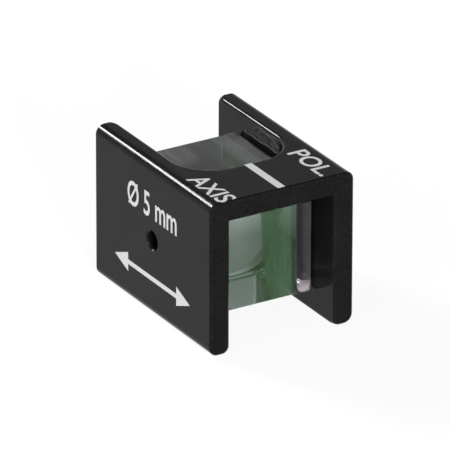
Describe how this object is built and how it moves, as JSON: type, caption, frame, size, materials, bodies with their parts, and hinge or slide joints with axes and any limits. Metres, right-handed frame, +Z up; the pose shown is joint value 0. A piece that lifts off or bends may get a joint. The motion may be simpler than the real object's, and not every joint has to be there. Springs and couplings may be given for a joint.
{
  "type": "glan-laser polarizer",
  "caption": "Air-spaced calcite prism polarizer in a small square black metal housing, open at both ends for the beam, with escape windows above and below for the rejected beam.",
  "frame": {"origin": "centre of the housing's underside, under the middle of the crystal", "axes": "+X across the side plates, away from the one with the hole; +Y along the beam, towards the rear end with the top window; +Z up, along the transmission axis"},
  "size_m": [0.011, 0.015, 0.011],
  "materials": {
    "black_anodised": "satin",
    "calcite": "polished, green antireflection coating on the end faces",
    "side_glass": "fine ground flanks",
    "spacer_film": "matte",
    "clear_adhesive": "clear",
    "white_mark": "white filling of the engraved marks, matte"
  },
  "bodies": {
    "root": {"housing": "black_anodised", "front_prism": "calcite", "rear_prism": "calcite", "left_side_plate": "side_glass", "right_side_plate": "side_glass", "left_gap_shim": "spacer_film", "right_gap_shim": "spacer_film", "left_bond": "clear_adhesive", "right_bond": "clear_adhesive"}
  },
  "joints": []
}
